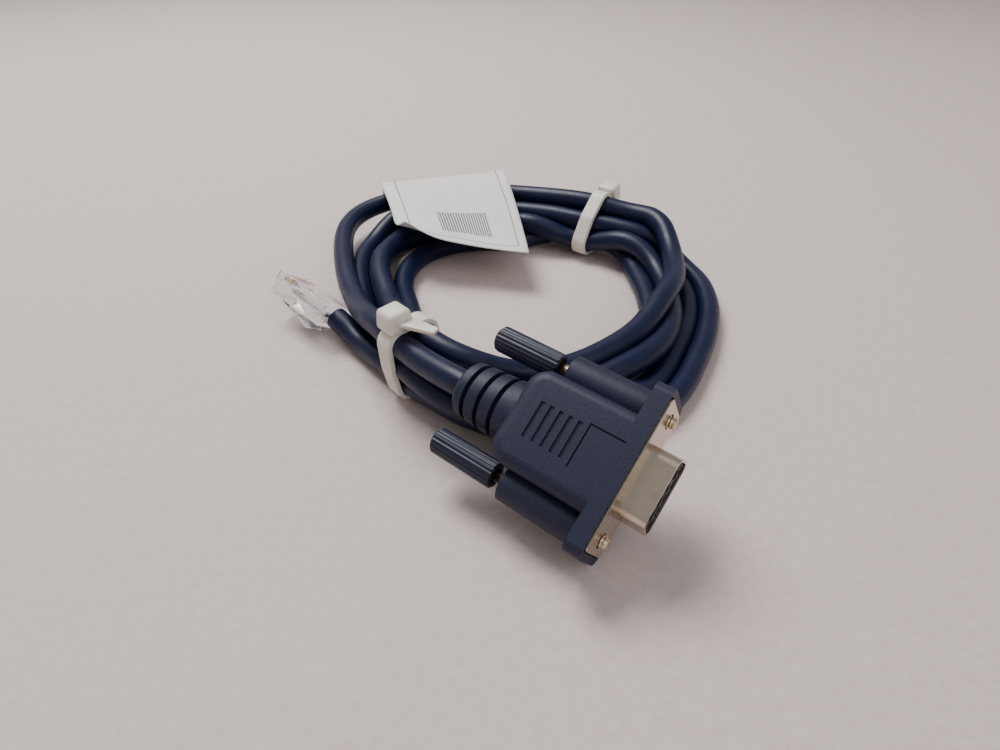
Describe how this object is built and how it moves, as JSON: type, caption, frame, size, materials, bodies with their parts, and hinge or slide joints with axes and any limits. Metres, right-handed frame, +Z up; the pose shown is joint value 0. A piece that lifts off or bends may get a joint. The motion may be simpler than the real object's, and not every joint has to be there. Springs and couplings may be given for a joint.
{
  "type": "modular plug to d-sub console cable",
  "caption": "Round jacketed cable wound in a flat coil under two zip ties, with a D-sub socket connector on one end and a clear modular plug on the other.",
  "frame": {"origin": "on the floor, under the middle of the box round everything but the cord itself", "axes": "+Z up, +Y from the D-sub connector across the coil to the far tie, +X to the right as seen from the connector's side"},
  "size_m": [0.1283, 0.1636, 0.0315],
  "materials": {
    "cable_jacket": "satin navy PVC jacket",
    "hood_plastic": "fine grained navy moulding",
    "nickel": "bright nickel plate",
    "insulator": "black, smooth",
    "gold_contact": "gold flash",
    "screw_metal": "plated thread",
    "tie_nylon": "translucent natural nylon",
    "label_paper": "smooth white paper",
    "clear_plastic": "clear polished moulding",
    "wire_1": "coloured wire insulation",
    "wire_2": "coloured wire insulation",
    "wire_3": "coloured wire insulation",
    "wire_4": "coloured wire insulation",
    "wire_5": "coloured wire insulation",
    "wire_6": "coloured wire insulation",
    "wire_7": "coloured wire insulation",
    "wire_8": "coloured wire insulation"
  },
  "bodies": {
    "cable_body": {"connector_hood": "hood_plastic", "plate_and_shell": "nickel", "insulator": "insulator", "socket_contact_1": "gold_contact", "socket_contact_2": "gold_contact", "socket_contact_3": "gold_contact", "socket_contact_4": "gold_contact", "socket_contact_5": "gold_contact", "socket_contact_6": "gold_contact", "socket_contact_7": "gold_contact", "socket_contact_8": "gold_contact", "socket_contact_9": "gold_contact", "plug_body": "clear_plastic", "plug_blade_1": "gold_contact", "plug_wire_1": "wire_1", "plug_blade_2": "gold_contact", "plug_wire_2": "wire_2", "plug_blade_3": "gold_contact", "plug_wire_3": "wire_3", "plug_blade_4": "gold_contact", "plug_wire_4": "wire_4", "plug_blade_5": "gold_contact", "plug_wire_5": "wire_5", "plug_blade_6": "gold_contact", "plug_wire_6": "wire_6", "plug_blade_7": "gold_contact", "plug_wire_7": "wire_7", "plug_blade_8": "gold_contact", "plug_wire_8": "wire_8", "cable_coil": "cable_jacket", "cable_lead": "cable_jacket", "cable_tail": "cable_jacket", "zip_tie_front": "tie_nylon", "zip_tie_back": "tie_nylon", "paper_label": "label_paper"},
    "thumbscrew_upper": {"thumbscrew_knob_upper": "hood_plastic", "thumbscrew_screw_upper": "screw_metal"},
    "thumbscrew_lower": {"thumbscrew_knob_lower": "hood_plastic", "thumbscrew_screw_lower": "screw_metal"}
  },
  "joints": [
    {"name": "thumbscrew_upper_turn", "type": "hinge", "parent": "cable_body", "child": "thumbscrew_upper", "pos_m": [0.02688, -0.04845, 0.02465], "axis": [0.789, -0.612, -0.0541], "continuous": true},
    {"name": "thumbscrew_lower_turn", "type": "hinge", "parent": "cable_body", "child": "thumbscrew_lower", "pos_m": [0.0138, -0.06403, 0.01012], "axis": [0.789, -0.612, -0.0541], "continuous": true}
  ]
}
